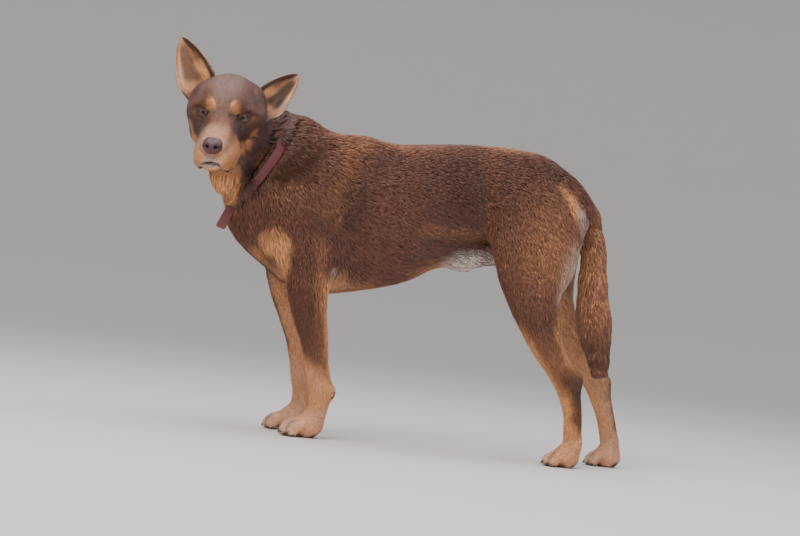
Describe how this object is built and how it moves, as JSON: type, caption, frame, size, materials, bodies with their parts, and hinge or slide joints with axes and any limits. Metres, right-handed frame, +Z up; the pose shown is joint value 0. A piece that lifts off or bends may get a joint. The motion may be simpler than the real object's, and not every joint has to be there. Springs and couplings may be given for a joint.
{
  "type": "standing dog figure",
  "caption": "Life-size still figure of a medium short-coated dog with pricked ears, standing square with its head turned to its left, wearing a leather collar.",
  "frame": {"origin": "on the floor under the middle of the figure's bounding box", "axes": "+X towards the tail and -X forwards along the trunk, -Y the dog's left side, which the head turns to, +Z up"},
  "size_m": [0.7962, 0.3142, 0.6154],
  "materials": {
    "brown_coat": "short dense fur, liver brown",
    "tan_coat": "short dense fur, tan",
    "nose": "moist liver-brown nose leather",
    "eye": "glass eye, amber brown",
    "claw": "dark horn",
    "collar": "worn dull red leather"
  },
  "bodies": {
    "root": {"claw_fore_left_1": "claw", "claw_fore_left_2": "claw", "claw_fore_left_3": "claw", "claw_fore_left_4": "claw", "claw_fore_right_1": "claw", "claw_fore_right_2": "claw", "claw_fore_right_3": "claw", "claw_fore_right_4": "claw", "claw_hind_left_1": "claw", "claw_hind_left_2": "claw", "claw_hind_left_3": "claw", "claw_hind_left_4": "claw", "claw_hind_right_1": "claw", "claw_hind_right_2": "claw", "claw_hind_right_3": "claw", "claw_hind_right_4": "claw", "collar_end": "collar", "collar_strap": "collar", "ear_left": "brown_coat", "ear_right": "brown_coat", "eye_left": "eye", "eye_right": "eye", "foreleg_left": "brown_coat", "foreleg_right": "brown_coat", "head": "brown_coat", "hindleg_left": "brown_coat", "hindleg_right": "brown_coat", "neck": "brown_coat", "nose": "nose", "paw_fore_left": "tan_coat", "paw_fore_right": "tan_coat", "paw_hind_left": "tan_coat", "paw_hind_right": "tan_coat", "tail": "brown_coat", "trunk": "brown_coat"}
  },
  "joints": []
}
